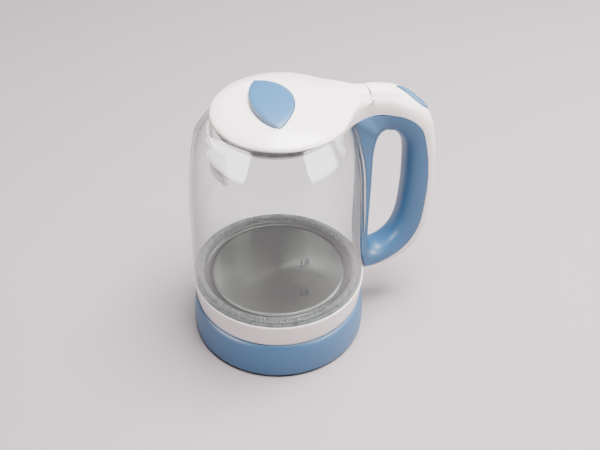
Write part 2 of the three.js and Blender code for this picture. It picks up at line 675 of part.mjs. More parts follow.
const lid = new THREE.Group();
lid.add(
  named('lid_cover', lidCover(), WHITE),
  named('lid_tab', lidTab(), BLUE),
  named('lid_liner', lidLiner(), WHITE),
  named('lid_seal', lidSeal(), SILICONE),
);
LID_SCREWS.forEach(([x, y], i) => {
  lid.add(named(`lid_screw_${i + 1}`, screw(x, y, 203 - GAP - 1.6, 12), STEEL));
});

const kettle = new THREE.Group();
kettle.name = 'electric_kettle';
kettle.add(powerBase, coupler, jug, handSwitch, lid);
export default kettle;
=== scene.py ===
"""A cordless glass kettle on its power base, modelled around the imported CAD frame."""

import json
import math

import bpy
from bpy.props import FloatProperty, FloatVectorProperty, IntProperty, PointerProperty
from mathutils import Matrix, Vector


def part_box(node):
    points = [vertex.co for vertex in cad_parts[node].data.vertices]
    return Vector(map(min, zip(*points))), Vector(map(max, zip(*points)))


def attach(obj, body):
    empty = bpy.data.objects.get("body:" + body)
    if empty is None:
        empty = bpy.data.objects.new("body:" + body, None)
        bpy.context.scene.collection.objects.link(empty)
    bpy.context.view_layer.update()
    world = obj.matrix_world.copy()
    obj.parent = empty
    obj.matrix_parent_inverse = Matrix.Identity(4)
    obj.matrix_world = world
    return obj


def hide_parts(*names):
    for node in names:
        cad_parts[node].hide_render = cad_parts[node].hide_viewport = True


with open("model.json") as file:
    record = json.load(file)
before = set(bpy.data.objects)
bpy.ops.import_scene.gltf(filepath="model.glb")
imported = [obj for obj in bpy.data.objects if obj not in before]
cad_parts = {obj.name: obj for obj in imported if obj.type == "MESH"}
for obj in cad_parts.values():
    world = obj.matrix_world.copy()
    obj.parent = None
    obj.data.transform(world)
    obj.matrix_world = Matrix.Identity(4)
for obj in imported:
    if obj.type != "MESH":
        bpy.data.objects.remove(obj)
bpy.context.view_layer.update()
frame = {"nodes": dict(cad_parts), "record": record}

bl_info = {
    "name": "Glass Kettle",
    "version": (1, 0, 0),
    "blender": (4, 5, 0),
    "location": "View3D > Sidebar > Kettle",
    "description": "Builds a cordless glass kettle around its CAD frame",
    "category": "Mesh",
}

MM = 0.001


def box_mm(node):
    """Lowest and highest corner of a CAD node, in millimetres."""
    low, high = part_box(node)
    return low / MM, high / MM


GLASS_LOW, GLASS_HIGH = box_mm("glass_jug")
RING_LOW, RING_HIGH = box_mm("body_ring")
BASE_LOW, BASE_HIGH = box_mm("base_shell")
PLATE_HIGH = box_mm("heating_plate")[1]
HINGE_LOW, HINGE_HIGH = box_mm("lid_hinge_pin")


# ---- Sizes and colours a user would change ----
def length(name, text, millimetres):
    return FloatProperty(
        name=name, description=text, default=millimetres * MM, unit="LENGTH", precision=4, min=0
    )


def colour(name, text, default):
    return FloatVectorProperty(
        name=name, description=text, default=default, subtype="COLOR", size=3, min=0, max=1
    )


class KettleSizes(bpy.types.PropertyGroup):
    glass_wall: length("Glass wall", "Thickness of the glass", 2.6)
    spout_reach: length("Spout reach", "How far the lip stands out", 12.0)
    spout_angle: FloatProperty(
        name="Spout half angle", description="Half of the angle that the spout takes",
        default=math.radians(30), subtype="ANGLE",
    )
    lid_radius: length("Lid radius", "Radius of the lid's round part", 53.5)
    grip_squareness: FloatProperty(
        name="Grip squareness", description="Exponent of the grip's section", default=2.35, min=2
    )
    seal_beads: IntProperty(
        name="Seal beads", description="Beads round the sealing ring", default=190, min=12
    )
    part_gap: length("Parting gap", "Gap between the handle's shells", 0.3)


class KettleColours(bpy.types.PropertyGroup):
    white: colour("White", "Covers and ring", (0.92, 0.82, 0.80))
    blue: colour("Blue", "Base, inner handle, tab and switch", (0.040, 0.128, 0.265))
    steel: colour("Steel", "Heating plate", (0.31, 0.335, 0.305))
    floor: colour("Floor", "Floor and backdrop", (0.36, 0.315, 0.325))
    marks: colour("Marks", "Level marks on the glass", (0.05, 0.055, 0.06))


def sizes():
    return bpy.context.scene.kettle_sizes


def in_mm(name):
    """A length property of the kettle's sizes, in millimetres."""
    return round(getattr(sizes(), name) / MM, 4)


def colours():
    return bpy.context.scene.kettle_colours


# ---- Shader maths as Python expressions ----
class Value:
    """A number socket; arithmetic on it adds Math nodes."""

    def __init__(self, maker, socket):
        self.maker = maker
        self.socket = socket

    def math(self, operation, *others):
        return self.maker.node("ShaderNodeMath", {"operation": operation}, *others)

    def __add__(self, other):
        return self.math("ADD", self, other)

    def __radd__(self, other):
        return self.math("ADD", other, self)

    def __sub__(self, other):
        return self.math("SUBTRACT", self, other)

    def __rsub__(self, other):
        return self.math("SUBTRACT", other, self)

    def __mul__(self, other):
        return self.math("MULTIPLY", self, other)

    def __rmul__(self, other):
        return self.math("MULTIPLY", other, self)

    def __pow__(self, other):
        return self.math("POWER", self, other)


class Maker:
    """One material, its Principled shader and the nodes that feed it."""

    def __init__(self, name, **constants):
        self.material = bpy.data.materials.new(f"kettle_{name}")
        self.material.use_nodes = True
        self.tree = self.material.node_tree
        self.shader = self.tree.nodes["Principled BSDF"]
        self.output = self.tree.nodes["Material Output"]
        for socket, value in constants.items():
            self.shader.inputs[socket.replace("_", " ")].default_value = value

    def node(self, kind, settings=None, *values, output=0, **named):
        made = self.tree.nodes.new(kind)
        for key, value in (settings or {}).items():
            setattr(made, key, value)
        sockets = [s for s in made.inputs if s.enabled]
        for socket, value in zip(sockets, values):
            self.feed(socket, value)
        for key, value in named.items():
            self.feed(made.inputs[key.replace("_", " ")], value)
        return Value(self, made.outputs[output])

    def feed(self, socket, value):
        if isinstance(value, Value):
            self.tree.links.new(value.socket, socket)
        else:
            socket.default_value = value

    def into(self, **links):
        for socket, value in links.items():
            self.feed(self.shader.inputs[socket.replace("_", " ")], value)
        return self

    def place(self, scale=(1, 1, 1)):
        """Object coordinates, scaled."""
        coordinates = self.node("ShaderNodeTexCoord", output="Object")
        return self.node("ShaderNodeMapping", None, Vector=coordinates, Scale=scale)

    def noise(self, scale, detail=2.0, stretch=(1, 1, 1), roughness=0.5):
        return self.node(
            "ShaderNodeTexNoise", None, Vector=self.place(stretch), Scale=scale, Detail=detail,
            Roughness=roughness,
        )

    def ramp(self, factor, dark, light):
        mixed = self.node(
            "ShaderNodeMix", {"data_type": "RGBA"}, factor, output=2,
        )
        made = mixed.socket.node
        made.inputs[6].default_value = (*dark, 1)
        made.inputs[7].default_value = (*light, 1)
        return mixed

    def bump(self, height, strength, distance):
        return self.node(
            "ShaderNodeBump", None, Height=height, Strength=strength, Distance=distance
        )


def shaded(base, factor):
    return tuple(min(1.0, c * factor) for c in base)


def moulded(name, base, roughness, grain=0.04, coat=0.0):
    """Moulded plastic: faint colour drift, uneven gloss and a fine orange-peel surface."""
    maker = Maker(name, IOR=1.5, Coat_Weight=coat, Coat_Roughness=0.12)
    drift = maker.noise(14, 3)
    fine = maker.noise(900, 2)
    gloss = maker.noise(60, 4)
    return maker.into(
        Base_Color=maker.ramp(drift, shaded(base, 0.965), shaded(base, 1.03)),
        Roughness=roughness - 0.03 + gloss * 0.06,
        Normal=maker.bump(fine, grain, 0.0004),
    ).material


def white_plastic():
    return moulded("white_plastic", tuple(colours().white), 0.26, 0.03, 0.25)


def blue_plastic():
    return moulded("blue_plastic", tuple(colours().blue), 0.40, 0.10)


def black_plastic():
    return moulded("black_plastic", (0.014, 0.014, 0.015), 0.48, 0.12)


def foot_rubber():
    return moulded("foot_rubber", (0.02, 0.02, 0.022), 0.75, 0.3)


def plain_metal(name, base, roughness):
    """Bright metal with fine rubbing marks."""
    maker = Maker(name, Metallic=1.0)
    rub = maker.noise(500, 3, (1, 1, 0.2))
    return maker.into(
        Base_Color=maker.ramp(maker.noise(40), shaded(base, 0.93), shaded(base, 1.05)),
        Roughness=roughness - 0.05 + rub * 0.1,
        Normal=maker.bump(rub, 0.05, 0.0002),
    ).material


def plain_steel():
    return plain_metal("plain_steel", (0.55, 0.55, 0.56), 0.3)


GROOVE_RADIUS = 0.0597
GROOVE_HALF = 0.0031


def brushed_plate():
    """Steel brushed in circles, so its highlights run out from the centre; shade is painted into the
    colour of its groove.
    """
    maker = Maker("brushed_plate", Metallic=1.0, Anisotropic=0.75)
    base = tuple(colours().steel)
    coordinates = maker.node("ShaderNodeTexCoord", output="Object")
    parts = maker.node("ShaderNodeSeparateXYZ", None, Vector=coordinates).socket.node
    x, y = Value(maker, parts.outputs["X"]), Value(maker, parts.outputs["Y"])
    radius = (x * x + y * y) ** 0.5
    rings = maker.node(
        "ShaderNodeTexNoise", {"noise_dimensions": "1D"}, W=radius * 9000, Scale=1.0, Detail=3.0
    )
    haze = maker.noise(30, 3)
    # Painted shade: the base colour is made far darker across the groove round the plate, standing in
    # for the shadow in that gap; the rings' light and dark is the brushing's grain.
    groove = radius.math("COMPARE", radius, GROOVE_RADIUS, GROOVE_HALF)
    grain_and_groove_shade = (rings * 0.2 + 0.8) * (1 - groove)
    return maker.into(
        Base_Color=maker.ramp(grain_and_groove_shade, shaded(base, 0.22), shaded(base, 1.02)),
        Roughness=0.22 + rings * 0.10 + haze * 0.06,
        Normal=maker.bump(rings, 0.05, 0.0001),
    ).material


def clear_glass():
    """Thin clear glass: see-through, glossy, and darker where it is seen edge on."""
    maker = Maker("clear_glass")
    edge = maker.node("ShaderNodeLayerWeight", None, output="Facing", Blend=0.5)
    mirror = edge ** 5 * 0.9 + 0.035
    clear = maker.node("ShaderNodeBsdfTransparent", None, Color=(0.985, 0.992, 0.99, 1))
    dark = maker.node("ShaderNodeBsdfTransparent", None, Color=(0.30, 0.34, 0.34, 1))
    through = maker.node("ShaderNodeMixShader", None, edge ** 4 * 0.95, clear, dark)
    gloss = maker.node("ShaderNodeBsdfGlossy", None, Color=(1, 1, 1, 1), Roughness=0.01)
    mixed = maker.node("ShaderNodeMixShader", None, mirror, through, gloss)
    maker.feed(maker.output.inputs["Surface"], mixed)
    maker.tree.nodes.remove(maker.shader)
    return maker.material


def clear_silicone():
    """Clear rubber, milky where it is thick."""
    maker = Maker("clear_silicone", IOR=1.41, Coat_Weight=0.4, Coat_Roughness=0.08)
    cloud = maker.noise(200, 3)
    return maker.into(
        Base_Color=maker.ramp(cloud, (0.16, 0.18, 0.18), (0.46, 0.49, 0.49)),
        Roughness=0.14 + cloud * 0.1,
        Alpha=0.46 + cloud * 0.24,
    ).material


def printed_marks():
    return moulded("printed_marks", tuple(colours().marks), 0.5, 0.02)


# ---- Modelling with operators ----
def deselect():
    if bpy.context.mode != "OBJECT":
        bpy.ops.object.mode_set(mode="OBJECT")
    bpy.ops.object.select_all(action="DESELECT")


def pick(piece):
    deselect()
    piece.select_set(True)
    bpy.context.view_layer.objects.active = piece


def apply_modifier(piece, kind, **settings):
    pick(piece)
    modifier = piece.modifiers.new(kind.title(), kind)
    for key, value in settings.items():
        setattr(modifier, key, value)
    bpy.ops.object.modifier_apply(modifier=modifier.name)


def weld(piece, outward=True):
    pick(piece)
    bpy.ops.object.mode_set(mode="EDIT")
    bpy.ops.mesh.select_all(action="SELECT")
    bpy.ops.mesh.remove_doubles(threshold=2e-6)
    bpy.ops.mesh.dissolve_degenerate(threshold=1e-7)
    if outward:
        bpy.ops.mesh.normals_make_consistent(inside=False)
    bpy.ops.object.mode_set(mode="OBJECT")


def smooth(piece, degrees=35):
    pick(piece)
    bpy.ops.object.shade_smooth_by_angle(angle=math.radians(degrees))


def turned(name, profile, centre=(0, 0), steps=128, edge=0.35):
    """A piece spun about an upright axis from a profile of radius and height in millimetres."""
    deselect()
    bpy.ops.mesh.primitive_plane_add(size=MM)
    piece = bpy.context.object
    piece.name = name
    bpy.ops.object.mode_set(mode="EDIT")
    bpy.ops.mesh.merge(type="CENTER")
    points = [Vector((centre[0] + r, centre[1], z)) * MM for r, z in profile]
    bpy.ops.transform.translate(value=points[0])
    closed = profile[0][0] > 0 or profile[-1][0] > 0
    path = points + points[:1] if closed else points
    for a, b in zip(path, path[1:]):
        bpy.ops.mesh.extrude_region_move(TRANSFORM_OT_translate={"value": b - a})
    bpy.ops.mesh.select_all(action="SELECT")
    bpy.ops.mesh.remove_doubles(threshold=1e-6)
    bpy.ops.mesh.select_all(action="SELECT")
    bpy.ops.mesh.spin(
        steps=steps, angle=2 * math.pi, center=(centre[0] * MM, centre[1] * MM, 0), axis=(0, 0, 1)
    )
    weld(piece)
    if edge:
        apply_modifier(
            piece, "BEVEL", width=edge * MM, segments=3, limit_method="ANGLE",
            angle_limit=math.radians(32),
        )
    smooth(piece)
    return piece


def wrapped(name, columns, rows, place, closed_rows=False, levels=0, degrees=50):
    """A grid whose columns close round the piece; place gives millimetres for column and row numbers."""
    deselect()
    bpy.ops.mesh.primitive_grid_add(x_subdivisions=columns, y_subdivisions=rows, size=2)
    piece = bpy.context.object
    piece.name = name
    for vertex in piece.data.vertices:
        column = round((vertex.co.x + 1) / 2 * columns) % columns
        row = round((vertex.co.y + 1) / 2 * rows)
        row = row % rows if closed_rows else row
        vertex.co = Vector(place(column, row)) * MM
    weld(piece)
    if levels:
        apply_modifier(piece, "SUBSURF", levels=levels, render_levels=levels)
    smooth(piece, degrees)
    return piece


def cut(piece, tool, operation="DIFFERENCE"):
    apply_modifier(piece, "BOOLEAN", object=tool, operation=operation, solver="EXACT")
    bpy.data.objects.remove(tool)


def finish_piece(piece, material, body, slot, *nodes):
    piece.data.materials.clear()
    piece.data.materials.append(material)
    for face in piece.data.polygons:
        face.material_index = 0
    piece.data.name = piece.name
    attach(piece, body)
    if nodes:
        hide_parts(*nodes)
    return piece


# ---- Curves and formulas that the pieces share ----
def mix(a, b, t):
    return a + (b - a) * t


def clamp(value, low=0.0, high=1.0):
    return max(low, min(high, value))


def ease(value, low, high):
    t = clamp((value - low) / (high - low))
    return t * t * (3 - 2 * t)


def spline(points, t):
    """A point on a Catmull-Rom curve through points, t from 0 to 1."""
    last = len(points) - 1
    i = min(int(t * last), last - 1)
    f = t * last - i
    a, b = Vector(points[i]), Vector(points[i + 1])
    before = Vector(points[i - 1]) if i else 2 * a - b
    after = Vector(points[i + 2]) if i + 2 <= last else 2 * b - a
    return 0.5 * (
        2 * a + (b - before) * f + (2 * before - 5 * a + 4 * b - after) * f * f
        + (3 * a - before - 3 * b + after) * f ** 3
    )


GLASS_OUTER = [
    (71.6, GLASS_LOW.z), (71.6, 100), (71.3, 125), (70.5, 145), (69.3, 162), (67.1, 176),
    (64.3, 188), (61.2, 196), (57.3, 203), (54.2, 208.4), (51.5, GLASS_HIGH.z),
]
SPOUT_START = 168


def glass_radius(z):
    for (r0, z0), (r1, z1) in zip(GLASS_OUTER, GLASS_OUTER[1:]):
        if z <= z1:
            return mix(r0, r1, clamp((z - z0) / (z1 - z0)))
    return GLASS_OUTER[-1][0]


# The grip from the neck to the lower root: outer edge, inner edge (X, Z) and half width.
NECK_X = 70.9
CROWN_Z = 225.5
GRIP = [
    ((NECK_X, CROWN_Z), (NECK_X, 194), 12.1),
    ((84, 223.8), (86.2, 184.8), 12.9),
    ((99.3, 218.5), (95, 182.4), 14.2),
    ((115, 206), (101.5, 175), 14.5),
    ((126, 191.5), (106, 164), 14.5),
    ((132.4, 163), (107.8, 145), 14.5),
    ((135.2, 125), (108, 122), 14.5),
    ((134, 92), (106.3, 96), 14.5),
    ((127, 67), (101.5, 80), 14.5),
    ((112.5, 51.5), (94, 71), 14.5),
    ((92, 45), (86, 67), 14.2),
    ((70, 44), (74, 66.5), 14),
]
PARTING = [
    (66, 204.4), (78, 205.2), (89, 203), (99, 199.5), (109, 192.5), (116, 183), (120.5, 167),
    (124, 146.5), (125, 126), (124, 104), (121.8, 87), (115, 72), (104, 60.5), (86, 51), (66, 45.6),
]


def parting_share(outer, inner):
    """How far along the line from the inner to the outer edge the parting line crosses it."""
    way = outer - inner
    points = [spline(PARTING, k / 140) - inner for k in range(141)]
    sides = [way.x * p.y - way.y * p.x for p in points]
    for k in range(140):
        if (sides[k] > 0) != (sides[k + 1] > 0):
            crossing = mix(points[k], points[k + 1], sides[k] / (sides[k] - sides[k + 1]))
            share = crossing.dot(way) / way.length_squared
            if 0 < share < 1:
                return share
    raise RuntimeError("the parting line misses the grip")


def grip_station(t):
    """Outer edge, inner edge, parting point (as 2D vectors of X and Z) and half width."""
    outer = spline([row[0] for row in GRIP], t)
    inner = spline([row[1] for row in GRIP], t)
    half = spline([(row[2], 0) for row in GRIP], t).x
    return outer, inner, mix(inner, outer, parting_share(outer, inner)), half


def section_point(outer, inner, half, turn):
    """A point on the grip's section; turn 0 is the outer edge and half a turn the inner one."""
    power = 2 / sizes().grip_squareness
    middle, reach = (outer + inner) / 2, (outer - inner) / 2
    c, s = math.cos(turn), math.sin(turn)
    p = middle + reach * math.copysign(abs(c) ** power, c)
    return Vector((p.x, half * math.copysign(abs(s) ** power, s), p.y))


def parting_turn(outer, inner, parting, shift):
    """The turn at which the section crosses the parting line, moved outwards by shift."""
    reach = (outer - inner).length / 2
    along = clamp(((parting - inner).length + shift - reach) / reach, -0.95, 0.95)
    return math.acos(math.copysign(abs(along) ** (sizes().grip_squareness / 2), along))


# ---- Lid ----
LID_X = 3
LID_RIM = (214.8, 217.2)
LID_TOP = 227.6
PIVOT = (HINGE_LOW + HINGE_HIGH) / 2
SEAM_X = NECK_X - 0.4
TAIL_PLAN = [
    (36, 41), (42, 36.6), (47, 30.4), (51, 25.6), (55, 21.2), (59, 17.4), (63, 14.4), (67, 12.7),
    (SEAM_X, 12.1),
]
TAB_TIP = (-8, 34.5)
TAB_FRONT = -19.5
TAB_REAR = 12


def tail_width(x):
    """Half width of the tail's plan at x."""
    low, high = 0.0, 1.0
    for _k in range(22):
        middle = (low + high) / 2
        low, high = (middle, high) if spline(TAIL_PLAN, middle).x < x else (low, middle)
    return spline(TAIL_PLAN, low).y


def neck_height(y, half):
    """Height of the neck's section at the seam."""
    outer, inner = Vector(GRIP[0][0]), Vector(GRIP[0][1])
    n = sizes().grip_squareness
    rise = (1 - min(1.0, abs(y) / half) ** n) ** (1 / n)
    return mix((outer.y + inner.y) / 2, outer.y, rise)


def dome_height(x, y):
    share = math.hypot(x - LID_X, y) / in_mm("lid_radius")
    if share < 1:
        return LID_RIM[1] + (LID_TOP - LID_RIM[1]) * (1 - share ** 2.5)
    return LID_RIM[1] - 26 * (share - 1)


def lid_height(x, y, scooped=True):
    """Height of the lid's top: the dome, its tail towards the neck and the scoop by the tab."""
    dome = dome_height(x, y)
    edge = in_mm("lid_radius") - math.hypot(x - LID_X, y)
    top, soft = dome, 2.2
    if x > 20:
        vault = CROWN_Z + 0.3 - y * y / 118
        top = (dome + vault + math.sqrt((dome - vault) ** 2 + 6)) / 2 if x < 90 else vault
        top = mix(dome, top, ease(x, 22, 50))
        if x > 40:
            edge = max(edge, 0.8 * (tail_width(x) - abs(y)))
        soft = mix(2.2, 9, ease(x, 40, 56))
    base = LID_RIM[0] + 1.1
    if edge < soft:
        top = base + (top - base) * math.sqrt(max(0.0, 1 - (1 - max(edge, 0) / soft) ** 2))
    if x > 50:
        top = mix(top, max(neck_height(y, tail_width(x)), LID_RIM[0] + 0.2), ease(x, 54, 69))
    if scooped and abs(y) < 33.5:
        away = tab_front_x(y) - x
        fade = 1 - ease(away, -1, 25) if away > -1 else ease(away, -9, -1)
        top -= 5.2 * fade * math.sqrt(1 - (y / 33.5) ** 2)
    return max(top, LID_RIM[0] + 0.15)


def tab_front_x(y):
    """X of the tab's front arc at y."""
    rise = TAB_TIP[0] - TAB_FRONT
    radius = (TAB_TIP[1] ** 2 + rise ** 2) / (2 * rise)
    return TAB_FRONT + radius - math.sqrt(radius ** 2 - y ** 2)


def lid_outline():
    """The lid's plan as a list of points, going round from the seam's middle."""
    side = [(SEAM_X, y) for y in (0, 3, 6, 9)]
    side += [
        (x, tail_width(x) * (1 - 0.028 * ease(x, 48, 66)))
        for x in (SEAM_X, 69, 66.5, 64, 61.5, 59, 56.5, 54, 51, 48.5, 46)
    ]
    radius = in_mm("lid_radius")
    start = math.acos((43.5 - LID_X) / radius)
    turns = [mix(start, math.pi, k / 34) for k in range(35)]
    side += [(LID_X + radius * math.cos(a), radius * math.sin(a)) for a in turns]
    return side + [(x, -y) for x, y in side[-2:0:-1]]


def lens_outline(tip, front, rear, margin=0.0, steps=26):
    """Two arcs that meet at tip and at its mirror image."""
    tip_x, tip_y = tip[0], tip[1] + margin
    points = []
    for apex, flip in ((rear + margin, 1), (front - margin, -1)):
        rise = apex - tip_x
        radius = (tip_y ** 2 + rise ** 2) / (2 * abs(rise))
        centre = apex - math.copysign(radius, rise)
        half = math.asin(min(1.0, tip_y / radius))
        for k in range(steps):
            angle = half * (1 - 2 * k / steps)
            x = centre + math.copysign(radius, rise) * math.cos(angle)
            points.append((x, flip * radius * math.sin(angle)))
    return points


def prism(name, outline, low, high, upright=True):
    """A closed block over an outline that lies flat, or stands across the kettle when not upright."""
    deselect()
    bpy.ops.mesh.primitive_circle_add(vertices=len(outline), fill_type="NGON")
    piece = bpy.context.object
    piece.name = name
    for vertex, (a, b) in zip(piece.data.vertices, outline):
        vertex.co = Vector((a, b, low) if upright else (a, low, b)) * MM
    way = Vector((0, 0, high - low) if upright else (0, high - low, 0)) * MM
    bpy.ops.object.mode_set(mode="EDIT")
    bpy.ops.mesh.select_all(action="SELECT")
    bpy.ops.mesh.extrude_region_move(TRANSFORM_OT_translate={"value": way})
    weld(piece)
    return piece


def build_lid_cover(material):
    outline = lid_outline()
    count = len(outline)
    top_rows, wall_rows = 34, 6
    reach = math.hypot(SEAM_X - PIVOT.x, CROWN_Z - PIVOT.z)
    corner = math.asin((CROWN_Z - PIVOT.z) / reach)

    def place(column, row):
        x1, y1 = outline[column]
        end = abs(x1 - SEAM_X) < 1e-6
        if row <= top_rows:
            share = 1 - (1 - row / top_rows) ** 1.25
            x, y = mix(LID_X, x1, share), y1 * share
            return x, y, lid_height(x, y)
        if row <= top_rows + wall_rows:
            down = (row - top_rows) / wall_rows
            z_top = lid_height(x1, y1)
            if end:
                turn = mix(corner, -corner, down)
                bulge = PIVOT.x + reach * math.cos(turn) - SEAM_X
                return SEAM_X + bulge, y1, mix(z_top, PIVOT.z + reach * math.sin(-corner), down)
            low = LID_RIM[0]
            if x1 > PIVOT.x:
                low = PIVOT.z - math.sqrt(max(0, reach ** 2 - (x1 - PIVOT.x) ** 2))
            return x1, y1, min(z_top, mix(z_top, low, down))
        step = row - top_rows - wall_rows
        share, z = ((0.955, LID_RIM[0]), (0.945, LID_RIM[0] + 1.0), (0.0, LID_RIM[0] + 1.2))[step - 1]
        low = PIVOT.z - reach * math.sin(corner) if end else LID_RIM[0]
        return mix(LID_X, x1, share), y1 * share, max(z, low - 3 * (1 - share)) if end else z

    cover = wrapped("lid_cover_skin", count, top_rows + wall_rows + 3, place, levels=1)
    pocket = lens_outline(TAB_TIP, TAB_FRONT, TAB_REAR, 0.55)
    cut(cover, prism("tab_pocket_tool", pocket, 220.4, 240))
    smooth(cover, 40)
    return finish_piece(cover, material, "lid", "white_plastic", "lid_cover")


def build_lid_tab(material):
    outline = lens_outline(TAB_TIP, TAB_FRONT, TAB_REAR)
    rows = 12
    centre = (-2, 0)

    def place(column, row):
        x1, y1 = outline[column]
        if row <= rows:
            share = row / rows
            x, y = mix(centre[0], x1, share), y1 * share
            edge = (1 - share) * 14
            dip = 0.5 * math.sqrt(max(0, 1 - (1 - min(1, edge / 1.2)) ** 2))
            return x, y, lid_height(x, y, False) + 0.25 + dip
        share, z = ((1, 223.4), (1, 220.9), (0, 220.9))[row - rows - 1]
        return mix(centre[0], x1, share), y1 * share, z

    tab = wrapped("lid_tab_lens", len(outline), rows + 3, place, degrees=40)
    apply_modifier(
        tab, "BEVEL", width=0.45 * MM, segments=3, limit_method="ANGLE", angle_limit=math.radians(50)
    )
    smooth(tab, 40)
    return finish_piece(tab, material, "lid", "blue_plastic", "lid_tab")


def build_lid_inside(white, silicone):
    liner = turned("lid_liner_cup", [
        (0, 203), (43, 203), (45.2, 203.7), (46.3, 205.5), (46.3, 213.2), (50.3, 213.2), (50.3, 214.3),
        (44.5, 214.3), (44.5, 206.6), (42.4, 205), (0, 205),
    ])
    finish_piece(liner, white, "lid", "white_plastic", "lid_liner")
    seal = turned("lid_seal_lip", [
        (46.65, 206.4), (47, 206.4), (47.9, 208.4), (47.3, 209.4), (48, 210.6), (47.4, 211.4),
        (48, 212.9), (46.65, 212.9),
    ], edge=0.2)
    finish_piece(seal, silicone, "lid", "clear_silicone", "lid_seal")


def build_hinge_pin(material):
    pin = rod_along_y("hinge_pin_rod", PIVOT.x, PIVOT.z, 1.2, 7.6, 32)
    finish_piece(pin, material, "kettle", "fastener_steel", "lid_hinge_pin")


# ---- Handle ----
def build_handle_cover(material):
    stations, arc = 64, 30
    gap = in_mm("part_gap") / 2
    rings = []
    for k in range(stations + 1):
        outer, inner, parting, half = grip_station(k / stations)
        edge = parting_turn(outer, inner, parting, gap)
        ring = [section_point(outer, inner, half, edge * (1 - 2 * j / arc)) for j in range(arc + 1)]
        rings.append([*ring, mix(ring[-1], ring[0], 0.5)])

    def place(column, row):
        if row in (0, stations + 2):
            ends = rings[0] if row == 0 else rings[-1]
            return sum(ends, Vector()) / len(ends)
        return rings[row - 1][column]

    cover = wrapped("handle_cover_skin", arc + 2, stations + 2, place)
    cut(cover, build_saddle(), "UNION")
    reach = math.hypot(SEAM_X - PIVOT.x, CROWN_Z - PIVOT.z) + 0.35
    cut(cover, rod_along_y("barrel_tool", PIVOT.x, PIVOT.z, reach, 30))
    cut(cover, jug_block("jug_tool", 0.35))
    cut(cover, leaf_tool())
    smooth(cover, 34)
    return finish_piece(cover, material, "kettle", "white_plastic", "handle_cover")


def rod_along_y(name, x, z, radius, half, steps=72):
    turns = [2 * math.pi * k / steps for k in range(steps)]
    outline = [(math.cos(a), math.sin(a)) for a in turns]
    levels = ((0, -half), (1, -half), (1, half), (0, half))

    def place(column, row):
        share, y = levels[row]
        c, s = outline[column]
        return x + radius * share * c, y, z + radius * share * s

    return wrapped(name, steps, 3, place)


def jug_block(name, margin):
    """The ring and the jug as one round block, to trim what hugs them."""
    wall = [(r + margin, z) for r, z in GLASS_OUTER[1:]]
    return turned(name, [
        (0, 30), (RING_HIGH.x + margin, 30), (RING_HIGH.x + margin, RING_HIGH.z + margin),
        (GLASS_OUTER[0][0] + margin, RING_HIGH.z + margin), *wall, (51.5 + margin, 220), (0, 220),
    ], steps=192, edge=0)


def build_saddle():
    """The fixed part that hugs the glass under the lid's tail."""
    top = LID_RIM[0] - 0.25
    plan = [(p.x, p.y) for p in (spline(TAIL_PLAN, k / 40) for k in range(41))]
    plan = [(x, y * (1 - 0.02 * ease(x, 60, 70))) for x, y in plan if x < SEAM_X - 0.6]
    plan += [(SEAM_X, 11.95), (NECK_X + 3, 11.95)]
    block = prism("saddle_block", plan + [(x, -y) for x, y in reversed(plan)], 200, 221.8)
    side = [
        (37, 213.6), (44, 211.9), (52, 208.6), (58, 206.0), (63, 204.9), (NECK_X + 2.4, 204.9),
        (NECK_X + 2.4, 220), (PIVOT.x + 0.4, 220), (PIVOT.x + 0.4, top), (37, top),
    ]
    cut(block, prism("saddle_side_tool", side, -60, 60, False), "INTERSECT")
    return block


SWITCH_FROM = 0.168
SWITCH_TO = 0.352
SWITCH_HALF = 7.0


def leaf_half(share, margin=0.0):
    """Half width of the switch's leaf at a share of its length."""
    reach = 2 * share - 1
    return (SWITCH_HALF + margin) * max(0.0, 1 - abs(reach) ** 2.1)


def grip_surface(t, y, lift):
    """A point on the grip's outer skin at a width y, lifted off the skin."""
    outer, inner, _parting, half = grip_station(t)
    n = sizes().grip_squareness
    rise = (1 - min(1.0, abs(y) / half) ** n) ** (1 / n)
    middle, reach = (outer + inner) / 2, (outer - inner) / 2
    p = middle + reach * rise + reach.normalized() * lift
    return Vector((p.x, y, p.y))


def leaf_points(margin, steps=28):
    stretch = margin / 110
    first, last = SWITCH_FROM - stretch, SWITCH_TO + stretch
    one = [(mix(first, last, k / steps), leaf_half(k / steps, margin)) for k in range(steps + 1)]
    return one + [(t, -y) for t, y in one[-2:0:-1]]


def leaf_solid(name, margin, lift, depth, rows):
    outline = leaf_points(margin)
    middle_t = (SWITCH_FROM + SWITCH_TO) / 2
    centre, around = grip_surface(middle_t, 0, 0), grip_station(middle_t)
    down = Vector((around[1].x - around[0].x, 0, around[1].y - around[0].y)).normalized()

    def place(column, row):
        t1, y1 = outline[column]
        if row <= rows:
            share = row / rows
            t, y = mix(middle_t, t1, share), y1 * share
            edge = (1 - share) * 7
            round_off = 0.5 * (1 - math.sqrt(max(0, 1 - (1 - min(1, edge / 1.4)) ** 2)))
            return grip_surface(t, y, lift - round_off)
        rim = grip_surface(t1, y1, lift - 0.5)
        low = rim + down * depth
        return mix(centre + down * depth, low, 1 if row == rows + 1 else 0)

    return wrapped(name, len(outline), rows + 2, place, degrees=40)


def leaf_tool():
    return leaf_solid("leaf_tool", 0.6, 6.0, 11.0, 3)


def build_switch(material):
    switch = leaf_solid("switch_leaf", 0.0, 0.9, 6.5, 8)
    return finish_piece(switch, material, "hand_switch", "blue_plastic", "switch_rocker")


